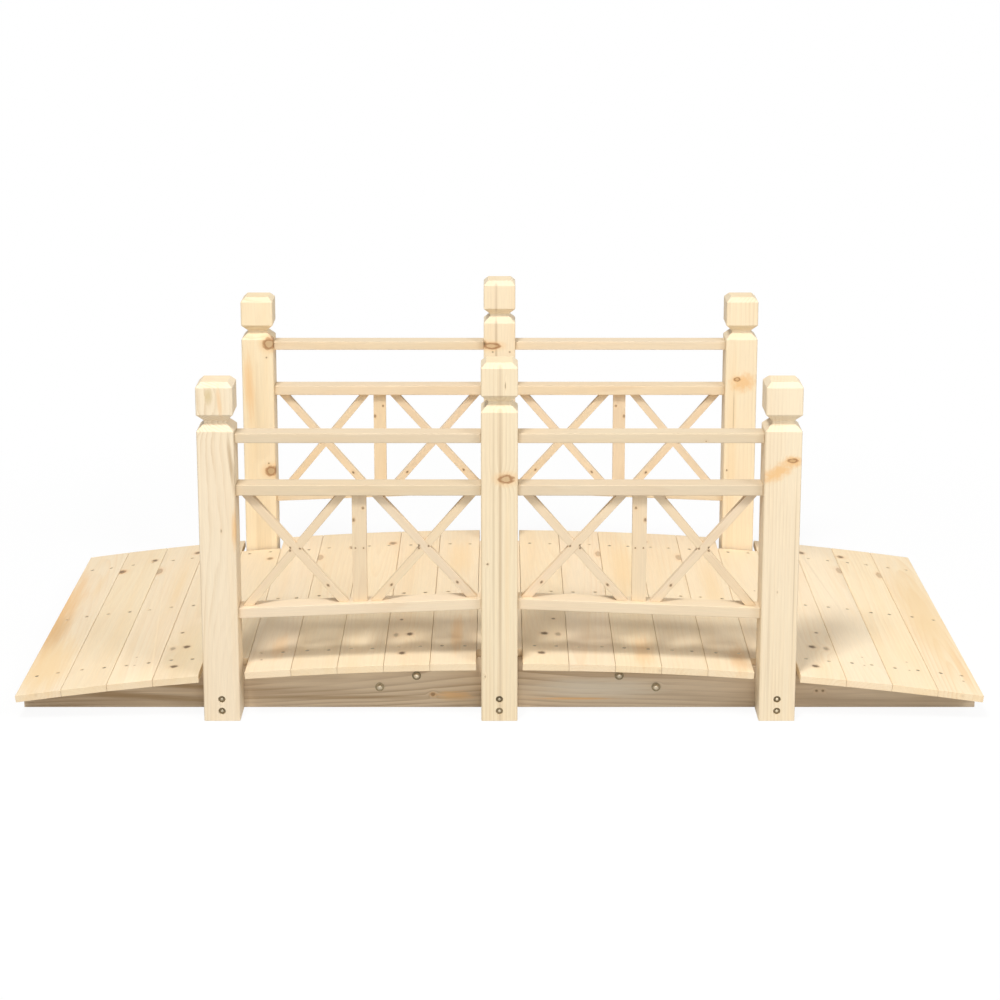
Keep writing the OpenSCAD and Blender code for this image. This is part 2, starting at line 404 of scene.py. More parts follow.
def make_timber_group(knot_group, figure_group):
    """Colour, roughness and relief of planed softwood, from the attributes that each piece carries."""
    tree, start, end = group(
        "planed_softwood",
        [
            ("Early", COLOUR), ("Late", COLOUR), ("Streak", COLOUR), ("Patch", COLOUR),
            ("End Shade", COLOUR),
            ("Ring Strength", VALUE), ("Streak Strength", VALUE), ("Patch Strength", VALUE),
        ],
        [("Colour", COLOUR), ("Roughness", VALUE), ("Height", VALUE)],
    )
    seed = attribute(tree, "seed", "Fac")
    end_grain = attribute(tree, "end_grain", "Fac")

    # Four knots at most: how dark and how warm each is comes as four channels
    marks = {"Core": 0.0, "Rim": 0.0, "Halo": 0.0, "Pull": 0.0}
    dark, warm = four_channels(tree, "knot_dark"), four_channels(tree, "knot_warm")
    for n, slot in enumerate(KNOT_SLOTS):
        knot = use(tree, knot_group, Place=attribute(tree, slot), Seed=seed)
        share = {"Core": dark[n], "Rim": warm[n], "Halo": warm[n], "Pull": 1.0}
        for key in marks:
            marks[key] = calc(tree, "MULTIPLY_ADD", knot[key], share[key], marks[key], clamp=True)
    pull = times(tree, marks["Pull"], KNOT_PULL)
    figure = use(
        tree, figure_group, Grain=attribute(tree, "grain"), Seed=seed, Pull=pull,
        Pith=attribute(tree, "pith"), Ring=attribute(tree, "ring"),
    )

    def marked(colour, mark, strength, tint):
        return mix_colour(tree, times(tree, mark, strength, clamp=True), colour, tint)

    # Rings and streaks over the pale early wood
    colour = marked(start["Early"], figure["Late"], start["Ring Strength"], start["Late"])
    colour = marked(colour, figure["Streak"], start["Streak Strength"], start["Streak"])
    colour = marked(colour, figure["Patch"], start["Patch Strength"], start["Patch"])
    colour = marked(colour, figure["Pith Line"], PITH_SHOWS, PITH_BROWN)
    grainy = step(tree, figure["Fibre"], *FIBRE_SPAN, *FIBRE_SHADE)
    colour = mix_colour(tree, 1.0, colour, grainy, "MULTIPLY")

    # Each piece has its own tone
    chance = place(tree, "ShaderNodeTexWhiteNoise", {"W": seed}, noise_dimensions="1D")
    luck = place(tree, "ShaderNodeSeparateColor", {0: chance.outputs["Color"]}).outputs
    tint = mix_colour(tree, luck[0], WARM_TINT, COOL_TINT)
    colour = mix_colour(tree, 1.0, colour, tint, "MULTIPLY")
    colour = mix_colour(tree, 1.0, colour, attribute(tree, "tone", "Fac"), "MULTIPLY")

    # Stains, then knots with their warm halo
    for slot in STAIN_SLOTS:
        spot = attribute(tree, slot)
        tint = place(tree, "ShaderNodeAttribute", attribute_name=f"{slot}_tint").outputs
        grained = vector_calc(tree, "MULTIPLY", spot, STAIN_GRAIN)
        ragged = noise(tree, grained, scale=1.6, detail=3.0, roughness=0.6)
        fray = calc(tree, "MULTIPLY_ADD", ragged, STAIN_FRAY, -STAIN_FRAY / 2)
        soaked = fade(tree, calc(tree, "ADD", vector_calc(tree, "LENGTH", spot), fray), *STAIN_FADE)
        colour = marked(colour, soaked, tint["Alpha"], tint["Color"])
    colour = marked(colour, marks["Halo"], HALO_SHOWS, RESIN)
    colour = marked(colour, marks["Rim"], RIM_SHOWS, KNOT_RIM)
    colour = mix_colour(tree, marks["Core"], colour, KNOT_BROWN)

    # Sawn ends look darker than the planed faces
    sawn = mix_colour(tree, 1.0, colour, start["End Shade"], "MULTIPLY")
    put(tree, end["Colour"], mix_colour(tree, end_grain, colour, sawn))

    planed = calc(tree, "MULTIPLY_ADD", figure["Fibre"], FIBRE_ROUGH, PLANED_ROUGH)
    put(tree, end["Roughness"], calc(tree, "MULTIPLY_ADD", end_grain, SAWN_ROUGH, planed))
    relief = calc(tree, "MULTIPLY_ADD", figure["Late"], RING_RELIEF, figure["Fibre"])
    put(tree, end["Height"], calc(tree, "MULTIPLY_ADD", marks["Core"], KNOT_RELIEF, relief))
    return tree


WOOD_BUMP = 0.55
WOOD_RELIEF = 0.12 * MM
WOOD_SPECULAR = 0.28
# Clouds on the plating: scale per metre, where they show, their shade and what they add to its roughness
ZINC_CLOUDS = 420.0
CLOUD_SPAN = (0.35, 0.7)
CLOUD_SHADE = 0.72
CLOUD_ROUGH = 0.22


def softwood(name, timber_group, **values):
    """A wood material. The values set the group's inputs, named with underscores for spaces."""
    material, tree, shader = new_material(name)
    wood = use(tree, timber_group, **values)
    ends = {"Strength": WOOD_BUMP, "Distance": WOOD_RELIEF, "Height": wood["Height"]}
    bump = place(tree, "ShaderNodeBump", ends)
    put(tree, shader.inputs["Base Color"], wood["Colour"])
    put(tree, shader.inputs["Roughness"], wood["Roughness"])
    put(tree, shader.inputs["Normal"], bump.outputs["Normal"])
    shader.inputs["Specular IOR Level"].default_value = WOOD_SPECULAR
    return material


def zinc(name, colour, dull):
    """Plated steel with faint cloudy handling marks."""
    material, tree, shader = new_material(name)
    where = place(tree, "ShaderNodeTexCoord").outputs["Object"]
    cloud = noise(tree, where, ZINC_CLOUDS, detail=3.0, roughness=0.6)
    clouded = tuple(channel * CLOUD_SHADE for channel in colour[:3]) + (1,)
    shade = mix_colour(tree, step(tree, cloud, *CLOUD_SPAN), colour, clouded)
    shade = mix_colour(tree, 1.0, shade, attribute(tree, "tone", "Fac"), "MULTIPLY")
    put(tree, shader.inputs["Base Color"], shade)
    put(tree, shader.inputs["Roughness"], calc(tree, "MULTIPLY_ADD", cloud, CLOUD_ROUGH, dull))
    shader.inputs["Metallic"].default_value = 1.0
    return material


TIMBER = make_timber_group(make_knot_group(), make_figure_group())
COMMON = {"Patch": ROSE, "End_Shade": (0.98, 0.96, 0.93, 1)}
DECK_WOOD = softwood(
    "deck_softwood", TIMBER, Early=(0.88, 0.735, 0.515, 1), Streak=HONEY, Late=(0.81, 0.60, 0.36, 1),
    Ring_Strength=0.75, Streak_Strength=0.26, Patch_Strength=0.20, **COMMON,
)
POST_WOOD = softwood(
    "post_softwood", TIMBER, Early=(0.90, 0.77, 0.555, 1), Streak=HONEY, Late=(0.72, 0.56, 0.355, 1),
    Ring_Strength=0.8, Streak_Strength=0.20, Patch_Strength=0.18, **COMMON,
)
RAIL_WOOD = softwood(
    "rail_softwood", TIMBER, Early=(0.775, 0.645, 0.455, 1), Streak=HONEY, Late=(0.69, 0.52, 0.33, 1),
    Ring_Strength=0.7, Streak_Strength=0.20, Patch_Strength=0.20, **COMMON,
)
BRACE_WOOD = softwood(
    "brace_softwood", TIMBER, Early=(0.81, 0.66, 0.46, 1), Streak=HONEY, Late=(0.70, 0.52, 0.345, 1),
    Ring_Strength=0.6, Streak_Strength=0.20, Patch_Strength=0.25, **COMMON,
)
BEAM_WOOD = softwood(
    "beam_softwood", TIMBER,
    Early=(0.76, 0.62, 0.445, 1), Streak=(0.40, 0.275, 0.165, 1), Late=(0.42, 0.285, 0.17, 1),
    Ring_Strength=0.75, Streak_Strength=0.60, Patch_Strength=0.10, **COMMON,
)
SCREW_ZINC = zinc("screw_zinc", (0.60, 0.51, 0.37, 1), 0.34)
YELLOW_ZINC = zinc("yellow_zinc", (0.86, 0.77, 0.58, 1), 0.18)
# Plating of the washers, darker than the other zinc: partly its own dull finish, partly painted shade for
# the ring of shadow round each bolt
WASHER_ZINC_AND_PAINTED_SHADE = zinc("dull_zinc_and_painted_shade", (0.27, 0.215, 0.13, 1), 0.45)


# Knots, stains and figure of single pieces

# Metres along a piece and across it from its middle. Stretch is the length of a knot against its width, dark
# is for its core, warm for its rim and halo, and side is where it comes out. A stain's sizes are half sizes.
Knot = namedtuple("Knot", "along across radius stretch dark warm side", defaults=(1.2, 0.9, 0.2, "face"))
Stain = namedtuple("Stain", "along across length width tint strength tilt", defaults=(0.6, 0.0))
# Where the pith lies from the middle of a piece, how it leans along it, and its rings
Figure = namedtuple("Figure", "across out lean width strength wander")

EDGE_KNOT = Knot(0.206, 0.032, 0.0052, 2.4, 0.34, 0.5)
FAR_KNOT = Knot(0.287, -0.026, 0.0060, 1.2, 0.85, 0.5)
NEAR_KNOTS = [
    Knot(-0.132, 0.016, 0.0036, 1.2, 0.75), Knot(-0.200, 0.000, 0.0068, 1.2),
    Knot(-0.203, 0.022, 0.0050, 1.8, 0.50), Knot(-0.286, -0.006, 0.0070, 1.1),
]
LEG_KNOT = Knot(-0.078, -0.001, 0.0021, 1.5, 0.8, 0.3)
LAP_KNOTS = [Knot(-0.0055, 0.0052, 0.0019, 1.2, 0.8), Knot(0.0055, -0.0052, 0.0019, 1.2, 0.8)]
BALUSTER_KNOTS = [
    Knot(0.0, 0.0062, 0.0017, 1.0, 0.75), Knot(0.0, -0.0062, 0.0017, 1.0, 0.75),
    Knot(0.064, 0.0060, 0.0021, 1.1, 0.7, 0.4), Knot(0.045, -0.0085, 0.0024, 1.4, 0.7, 0.4),
]
PIN_KNOTS = [Knot(-0.226, 0.005, 0.0020, 1.0, 0.5), Knot(-0.262, 0.003, 0.0020, 1.0, 0.5)]


def turned(*knots):
    """The same knots on a piece of the other half, where the figure is mirrored."""
    return [knot._replace(across=-knot.across) for knot in knots]


LEFT_NEAR_KNOTS = turned(*NEAR_KNOTS[:3]) + [Knot(-0.284, -0.009, 0.0072, 1.0)]
KNOTS = {
    "deck_board_02": [
        Knot(0.268, 0.022, 0.0058, 1.2, 0.85, 0.4), Knot(0.224, -0.031, 0.0066, 1.2, 0.85, 1.0),
    ],
    "deck_board_03": turned(FAR_KNOT, *PIN_KNOTS) + [Knot(0.202, -0.0325, 0.0056, 2.4, 0.42, 0.6)],
    "deck_board_04": LEFT_NEAR_KNOTS,
    "deck_board_05": [Knot(0.218, 0.021, 0.0050, 1.2, 0.6, 0.6)],
    "deck_board_07": turned(EDGE_KNOT, Knot(0.250, -0.023, 0.0046, 1.2, 0.6, 0.5)),
    "deck_board_08": [Knot(0.268, 0.023, 0.0060, 1.2, 0.65, 0.6)],
    "deck_board_09": LEFT_NEAR_KNOTS,
    "deck_board_12": NEAR_KNOTS,
    "deck_board_13": [EDGE_KNOT],
    "deck_board_15": [FAR_KNOT, EDGE_KNOT],
    "deck_board_18": NEAR_KNOTS,
    "deck_board_19": [FAR_KNOT, EDGE_KNOT, *PIN_KNOTS],
    "deck_board_20": [FAR_KNOT, EDGE_KNOT, *PIN_KNOTS],
    "front_left_post": [
        Knot(0.030, 0.006, 0.0105, 6.0, 0.0, 0.0), Knot(0.038, 0.006, 0.0014, 2.4, 0.45, 0.2),
        Knot(0.206, -0.028, 0.0060, 1.1, 0.5, 0.3), Knot(0.244, 0.000, 0.0090, 2.2, 0.0, 0.0),
    ],
    "front_centre_post": [
        Knot(0.105, 0.010, 0.0105, 0.60, 0.28, 1.0), Knot(-0.030, -0.018, 0.0022, 1.0, 0.7),
        Knot(0.251, 0.009, 0.0009, 7.0, 0.6), Knot(-0.212, -0.022, 0.0014, 1.5, 0.4),
    ],
    "front_right_post": [
        Knot(0.149, 0.014, 0.0070, 0.45, 0.30, 1.0), Knot(-0.060, -0.004, 0.0010, 2.0, 0.3),
    ],
    "rear_left_post": [
        Knot(0.187, 0.021, 0.0100, 0.9, 0.35, 1.0), Knot(-0.047, 0.020, 0.0090, 0.9, 0.40, 1.0),
        Knot(0.162, 0.016, 0.0018, 1.0, 0.7), Knot(-0.033, 0.016, 0.0018, 1.0, 0.7),
    ],
    "rear_centre_post": [
        Knot(0.168, -0.014, 0.0135, 0.38, 0.25, 1.0), Knot(0.172, -0.028, 0.0045, 1.2, 0.8, 0.5),
        Knot(0.157, 0.018, 0.0020, 1.0, 0.6), Knot(0.157, -0.012, 0.0020, 1.0, 0.6),
    ],
    "rear_right_post": [
        Knot(0.122, -0.007, 0.0055, 0.6, 0.25, 1.0), Knot(-0.046, -0.022, 0.0018),
        Knot(-0.090, 0.004, 0.0070, 1.2, 0.6, 0.5, "left"),
    ],
    **{name: LAP_KNOTS + [LEG_KNOT] for name in BRACES if "outward" in name},
    **{name: turned(*LAP_KNOTS, LEG_KNOT) for name in BRACES if "inward" in name},
    "balusters": BALUSTER_KNOTS,
    "front_beam_left": [Knot(0.255, 0.020, 0.0026, 1.2, 0.6, 0.8)],
    "front_beam_right": [
        Knot(0.110, 0.014, 0.0027, 1.0, 0.7), Knot(0.120, 0.014, 0.0027, 1.0, 0.7),
        Knot(-0.140, 0.004, 0.0018, 1.4, 0.5),
    ],
}
# Nodes with pieces in both halves, whose knots are mirrored in the right one
MIRRORED = BRACES + ["balusters"]
# Beyond it from the middle, the braces that lean inward have no leg knot
OUTER_BRACE_X = 0.2
STAINS = {
    "deck_board_01": [
        Stain(0.00, -0.040, 0.34, 0.050, RESIN, 0.9), Stain(-0.07, -0.022, 0.14, 0.026, AMBER, 0.5),
        Stain(-0.22, -0.004, 0.18, 0.050, HONEY, 0.8), Stain(0.16, 0.012, 0.10, 0.010, HONEY, 0.4),
    ],
    "deck_board_03": [Stain(0.10, 0.018, 0.16, 0.010, HONEY, 0.4)],
    "deck_board_04": [Stain(-0.21, 0.010, 0.20, 0.060, OLIVE, 0.22)],
    "deck_board_06": [Stain(-0.23, 0.010, 0.08, 0.018, RESIN, 0.45)],
    "deck_board_10": [Stain(-0.20, 0.004, 0.12, 0.014, RESIN), Stain(0.17, 0.004, 0.15, 0.030, HONEY, 0.5)],
    "deck_board_14": [
        Stain(-0.27, 0.010, 0.10, 0.020, RESIN, 0.5), Stain(0.12, 0.000, 0.20, 0.030, HONEY, 0.5),
    ],
    "deck_board_16": [
        Stain(-0.28, 0.016, 0.08, 0.020, RESIN, 0.5), Stain(0.05, 0.006, 0.22, 0.022, HONEY, 0.5),
    ],
    "deck_board_21": [
        Stain(-0.22, 0.022, 0.14, 0.010, RESIN, 0.5), Stain(0.02, 0.004, 0.36, 0.046, HONEY, 0.75),
    ],
    "front_left_post": [
        Stain(0.146, 0.023, 0.060, 0.005, BARK, 0.55, 0.10), Stain(0.040, 0.026, 0.045, 0.006, RESIN, 0.75),
        Stain(0.250, -0.008, 0.018, 0.009, OLIVE, 0.55),
        Stain(0.240, 0.008, 0.038, 0.005, RESIN, 0.5, 0.10),
    ],
    "front_centre_post": [
        Stain(0.0, 0.0015, 0.34, 0.0034, BARK, 0.32), Stain(0.02, -0.009, 0.32, 0.0030, BARK, 0.22),
        Stain(-0.05, 0.012, 0.20, 0.0060, HONEY, 0.35),
    ],
    "front_right_post": [
        Stain(0.131, -0.008, 0.017, 0.040, RESIN, 0.9, 0.50),
        Stain(0.148, 0.016, 0.012, 0.018, RESIN, 0.9, -0.3),
        Stain(-0.03, 0.021, 0.26, 0.0016, BARK, 0.35), Stain(-0.12, -0.016, 0.16, 0.0030, BARK, 0.22),
    ],
    "rear_left_post": [
        Stain(0.05, -0.012, 0.25, 0.014, HONEY, 0.3), Stain(0.109, -0.016, 0.085, 0.012, RESIN, 0.6, 0.05),
    ],
    "rear_centre_post": [Stain(0.10, -0.006, 0.24, 0.0030, BARK, 0.35)],
    "rear_right_post": [
        Stain(0.116, 0.004, 0.024, 0.032, RESIN, 0.8, 0.2), Stain(0.00, -0.014, 0.28, 0.012, HONEY, 0.3),
        Stain(0.06, -0.012, 0.07, 0.0016, BARK, 0.5),
    ],
    "front_beam_left": [
        Stain(0.288, 0.022, 0.045, 0.011, RESIN, 0.8), Stain(-0.22, 0.022, 0.22, 0.008, BARK, 0.8, -0.06),
        Stain(-0.16, 0.004, 0.14, 0.007, BARK, 0.8, -0.07), Stain(0.10, 0.025, 0.28, 0.005, BARK, 0.6),
    ],
    "front_beam_right": [
        Stain(-0.24, 0.009, 0.15, 0.022, PALE_GREY, 0.6), Stain(-0.14, -0.016, 0.26, 0.007, BARK, 0.55),
        Stain(-0.27, 0.027, 0.09, 0.003, RESIN, 0.9), Stain(0.20, -0.010, 0.24, 0.006, BARK, 0.45, -0.03),
    ],
}
# How light a piece is against the plain wood
TONES = {
    "front_top_rails": 0.93, "front_middle_rails": 0.93, "front_lower_rails": 1.04,
    "rear_top_rails": 1.02, "rear_middle_rails": 1.02, "front_beam_left": 1.05, "front_centre_post": 0.955,
    "deck_board_18": 1.05, "deck_board_19": 1.05, "deck_board_20": 1.05, "deck_board_21": 1.05,
}
TONE_SPREAD = 0.035
# Range of the seeds that tell single pieces apart
SEEDS = 50.0
FIGURES = {
    "front_left_post": Figure(0.030, -0.050, 0.020, 3.4 * MM, 1.5, 0.010),
    "front_centre_post": Figure(0.001, 0.027, 0.000, 6.0 * MM, 0.9, 0.0010),
    "front_right_post": Figure(-0.120, -0.010, 0.004, 5.2 * MM, 0.9, 0.0015),
    "rear_centre_post": Figure(-0.006, 0.027, 0.000, 6.0 * MM, 0.7, 0.0010),
    "deck_board_21": Figure(0.004, -0.018, 0.060, 6.5 * MM, 1.5, 0.006),
    "deck_board_01": Figure(-0.004, -0.018, 0.060, 5.5 * MM, 0.9, 0.006),
    "front_beam_left": Figure(-0.030, -0.045, 0.028, 4.6 * MM, 1.5, 0.006),
    "front_beam_right": Figure(-0.050, -0.050, -0.016, 5.5 * MM, 1.2, 0.006),
    "rear_left_post": Figure(0.004, -0.075, 0.003, 7.5 * MM, 1.1, 0.0020),
    "rear_right_post": Figure(-0.060, -0.050, 0.004, 5.0 * MM, 0.9, 0.0015),
}


# Timber pieces

# Points nearer than MERGE become one, edges flatter than FLAT go, and those sharper than SHARP are eased
MERGE = 1e-6
FLAT = math.radians(0.02)
SHARP = math.radians(12)
EASE_STEPS = 2
# How squarely a face looks along the grain to be a sawn end
END_FACE = 0.9
# Depth of stains, of knots in their radii, and the least of any knot
STAIN_DEPTH = 20 * MM
KNOT_DEPTH = 2.2
LEAST_KNOT_DEPTH = 12 * MM
# Knots on pieces with none of their own: how many, how near the ends and edges, and radii in millimetres
STRAY_COUNTS = (0, 0, 1, 1)
STRAY_SIDES = ("face", "face", "back")
STRAY_ALONG = 0.9
STRAY_ACROSS = 0.7
STRAY_RADII = (1.0, 2.2)


def cad_shape(node):
    """Merged copy of a CAD node's mesh with its flat faces whole again."""
    shape = bmesh.new()
    shape.from_mesh(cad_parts[node].data)
    bmesh.ops.remove_doubles(shape, verts=shape.verts, dist=MERGE)
    bmesh.ops.dissolve_limit(shape, angle_limit=FLAT, verts=shape.verts, edges=shape.edges)
    return shape


def ease_edges(shape, width):
    """Rounds every sharp edge a little, as sanding does."""
    edges = [e for e in shape.edges if len(e.link_faces) == 2 and e.calc_face_angle() > SHARP]
    bmesh.ops.bevel(
        shape, geom=edges, offset=width, offset_type="OFFSET", segments=EASE_STEPS, profile=0.5,
        affect="EDGES", clamp_overlap=True,
    )


def plain_mesh(piece):
    """The piece's mesh with its modifiers carried out."""
    bpy.context.view_layer.update()
    return bpy.data.meshes.new_from_object(piece.evaluated_get(bpy.context.evaluated_depsgraph_get()))


def drill(piece, holes):
    """Cuts round holes, each a centre on the surface, the direction out of it, a diameter and a depth."""
    cutter = bmesh.new()
    for centre, out, diameter, depth in holes:
        turn = out.to_track_quat("Z", "Y").to_matrix().to_4x4()
        bmesh.ops.create_cone(
            cutter, cap_ends=True, segments=ROUND_SIDES, radius1=diameter / 2, radius2=diameter / 2,
            depth=2 * depth, matrix=Matrix.Translation(centre) @ turn,
        )
    tool = new_object("drill", mesh_of(cutter, "drill"))
    modifier = piece.modifiers.new("holes", "BOOLEAN")
    modifier.operation = "DIFFERENCE"
    modifier.solver = "EXACT"
    modifier.object = tool
    drilled = plain_mesh(piece)
    piece.modifiers.remove(modifier)
    piece.data = drilled
    bpy.data.objects.remove(tool)


def solids(mesh):
    """Vertex numbers of each separate solid of a mesh."""
    parent = list(range(len(mesh.vertices)))

    def root(i):
        while parent[i] != i:
            parent[i] = parent[parent[i]]
            i = parent[i]
        return i

    for edge in mesh.edges:
        a, b = (root(i) for i in edge.vertices)
        parent[max(a, b)] = min(a, b)
    found = {}
    for i in range(len(parent)):
        found.setdefault(root(i), []).append(i)
    return [np.array(members) for members in found.values()]


def main_axes(points):
    """Directions of a piece's extents in columns, the shortest first."""
    return np.linalg.eigh(np.cov((points - points.mean(0)).T))[1]


def long_axis(points):
    """Direction of the longest extent of a straight piece."""
    axis = main_axes(points)[:, 2]
    return axis * np.sign(axis[np.argmax(np.abs(axis))])


def grain_axes(points, along, face):
    """Rows of a turned frame: along the grain, across it, and out of the face."""
    run = np.array(along, float) if along else long_axis(points)
    out = np.array(face, float) - np.dot(face, run) * run
    out /= np.linalg.norm(out)
    return np.array([run, np.cross(run, out), out])


# Kind of an attribute and its field, by how many numbers each value has
ATTRIBUTE_KINDS = {1: ("FLOAT", "value"), 3: ("FLOAT_VECTOR", "vector"), 4: ("FLOAT_COLOR", "color")}


def write_attribute(mesh, name, values, domain="POINT"):
    values = np.asarray(values, np.float32)
    kind, field = ATTRIBUTE_KINDS[values[0].size]
    mesh.attributes.new(name, kind, domain).data.foreach_set(field, values.ravel())


def knot_places(local, half, knot):
    """Place of each point from a knot, in radii, and in the depth that the knot reaches from its side."""
    sign, depth_axis, across_axis = {
        "face": (1, 2, 1), "back": (-1, 2, 1), "right": (1, 1, 2), "left": (-1, 1, 2),
    }[knot.side]
    reach = max(KNOT_DEPTH * knot.radius, LEAST_KNOT_DEPTH)
    return np.stack([
        (local[:, 0] - knot.along) / (knot.stretch * knot.radius),
        (local[:, across_axis] - knot.across) / knot.radius,
        (local[:, depth_axis] - sign * half[depth_axis]) / reach,
    ], axis=1)


def stain_places(local, half, stain):
    """Place of each point from a stain, in its half lengths and half widths."""
    along, across = local[:, 0] - stain.along, local[:, 1] - stain.across
    turn, lift = math.cos(stain.tilt), math.sin(stain.tilt)
    return np.stack([
        (turn * along - lift * across) / stain.length,
        (lift * along + turn * across) / stain.width,
        (local[:, 2] - half[2]) / STAIN_DEPTH,
    ], axis=1)


def stray_knots(half):
    """A few small knots on a piece that has none of its own."""
    knots = []
    for _ in range(draw.choice(STRAY_COUNTS)):
        along = draw.uniform(-STRAY_ALONG, STRAY_ALONG) * half[0]
        across = draw.uniform(-STRAY_ACROSS, STRAY_ACROSS) * half[1]
        radius = draw.uniform(*STRAY_RADII) * MM
        side = draw.choice(STRAY_SIDES)
        knots.append(Knot(along, across, radius, stretch=1.2, dark=0.5, warm=0.3, side=side))
    return knots


def stray_figure(half):
    """Plain figure of a piece that has none of its own."""
    return Figure(
        across=draw.uniform(-1.0, 1.0) * half[1],
        out=-half[2] - draw.uniform(0.004, 0.045),
        lean=draw.uniform(-0.05, 0.05),
        width=draw.uniform(4.0, 7.0) * MM,
        strength=draw.uniform(0.45, 0.9),
        wander=draw.uniform(0.003, 0.007),
    )


def carry_grain(mesh, node, along, face):
    """Writes the grain, rings, knots and stains of each solid on its points."""
    points = np.array([v.co for v in mesh.vertices])
    count = len(points)
    carried = {name: np.zeros((count, 3)) for name in ("grain", "pith", "ring")}
    carried |= {name: np.full((count, 3), FAR_AWAY) for name in STAIN_SLOTS + KNOT_SLOTS}
    carried |= {name: np.zeros((count, 4)) for name in ("knot_dark", "knot_warm")}
    carried |= {f"{slot}_tint": np.zeros((count, 4)) for slot in STAIN_SLOTS}
    carried |= {name: np.zeros(count) for name in ("seed", "tone")}
    run = np.zeros((count, 3))
    for members in solids(mesh):
        own = points[members]
        axes = grain_axes(own, along, face)
        own = own @ axes.T
        local = own - (own.min(0) + own.max(0)) / 2
        half = local.max(0)
        figure = FIGURES.get(node) or stray_figure(half)
        carried["grain"][members] = local
        carried["pith"][members] = figure[:3]
        carried["ring"][members] = figure[3:]
        carried["seed"][members] = draw.uniform(0.0, SEEDS)
        carried["tone"][members] = TONES.get(node, 1.0) - draw.uniform(0.0, TONE_SPREAD)
        run[members] = axes[0]
        knots = KNOTS.get(node) or stray_knots(half)
        middle_x = points[members, 0].mean()
        if node in MIRRORED and middle_x > 0:
            knots = turned(*knots)
        if "inward" in node and abs(middle_x) > OUTER_BRACE_X:
            knots = knots[:-1]
        for n, knot in enumerate(knots):
            carried[KNOT_SLOTS[n]][members] = knot_places(local, half, knot)
            carried["knot_dark"][members, n] = knot.dark
            carried["knot_warm"][members, n] = knot.warm
        for slot, stain in zip(STAIN_SLOTS, STAINS.get(node, [])):
            carried[slot][members] = stain_places(local, half, stain)
            carried[f"{slot}_tint"][members] = stain.tint[:3] + (stain.strength,)
    for name, values in carried.items():
        write_attribute(mesh, name, values)
    ends = []
    for polygon in mesh.polygons:
        sawn = abs(np.dot(polygon.normal, run[polygon.vertices[0]])) > END_FACE
        ends += [float(sawn)] * polygon.loop_total
    write_attribute(mesh, "end_grain", ends, "CORNER")


def show(piece, slot, *nodes):
    """Hands a finished piece to the frame."""
    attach(piece, BODY)
    if nodes:
        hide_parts(*nodes)


def timber(node, material, slot, eased, along=None, face=FRONT, holes=()):
    """Replaces a CAD node with a dressed piece of wood."""
    name = f"{node}_timber"
    shape = cad_shape(node)
    ease_edges(shape, eased)
    piece = new_object(name, mesh_of(shape, name))
    if holes:
        drill(piece, holes)
    piece.data.name = name
    carry_grain(piece.data, node, along, face)
    piece.data.materials.clear()
    piece.data.materials.append(material)
    show(piece, slot, node)


# Fastener places: a point on the wood and the direction out of it

def board_axes(node):
    """Middle of a deck board's top face, the directions across it and out of it, and its width."""
    points = np.array([v.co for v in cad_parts[node].data.vertices])
    out = Vector(main_axes(points)[:, 0])
    out = out if out.z > 0 else -out
    across = Vector(CROSSWISE).cross(out)
    flat = points @ np.array(out)
    wide = points @ np.array(across)
    centre = across * (wide.min() + wide.max()) / 2 + out * flat.max()
    return centre, across, out, wide.max() - wide.min()


def board_screws(node):
    """Two screws in each of three rows, one row over each beam."""
    centre, across, out, width = board_axes(node)
    places = []
    for row in (BEAM_ROW_Y, 0.0, -BEAM_ROW_Y):
        for side in (-1, 1):
            along = row + draw.uniform(-SCREW_WANDER, SCREW_WANDER)
            aside = side * SCREW_ACROSS * width + draw.uniform(-SCREW_WANDER, SCREW_WANDER)
            places.append((centre + across * aside + Vector((0, along, 0)), out))
    return places


def post_bolts(node):
    """Two bolts, one over the other, on the outer face of a post's foot."""
    low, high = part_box(node)
    front = node.startswith("front")
    face = low.y if front else high.y
    out = Vector((0, -1 if front else 1, 0))
    return [(Vector(((low.x + high.x) / 2, face, z)), out) for z in POST_BOLT_Z]


def beam_bolt_spots(joint):
    """Places of the four bolts round a beam's joint, two to each side, by X and Z."""
    return [(joint + side * x, z) for side in (-1, 1) for x, z in (BEAM_BOLT_INNER, BEAM_BOLT_OUTER)]


def beam_bolts(faces):
    """Bolts on faces, each a joint, the Y of the face and the way that it looks along Y."""
    return [
        (Vector((x, y, z)), Vector((0, way, 0)))
        for joint, y, way in faces
        for x, z in beam_bolt_spots(joint)
    ]


HEAD_FACES = [(JOINT_X, BEAM_FACE_Y, -1), (JOINT_X, -BEAM_T / 2, -1), (-JOINT_X, -BEAM_FACE_Y, 1)]
NUT_FACES = [
    (JOINT_X, BEAM_BACK_Y + SPLICE_T, 1),
    (JOINT_X, BEAM_T / 2 + SPLICE_T, 1),
    (-JOINT_X, -BEAM_BACK_Y - SPLICE_T, -1),
]


# Fasteners by Geometry Nodes

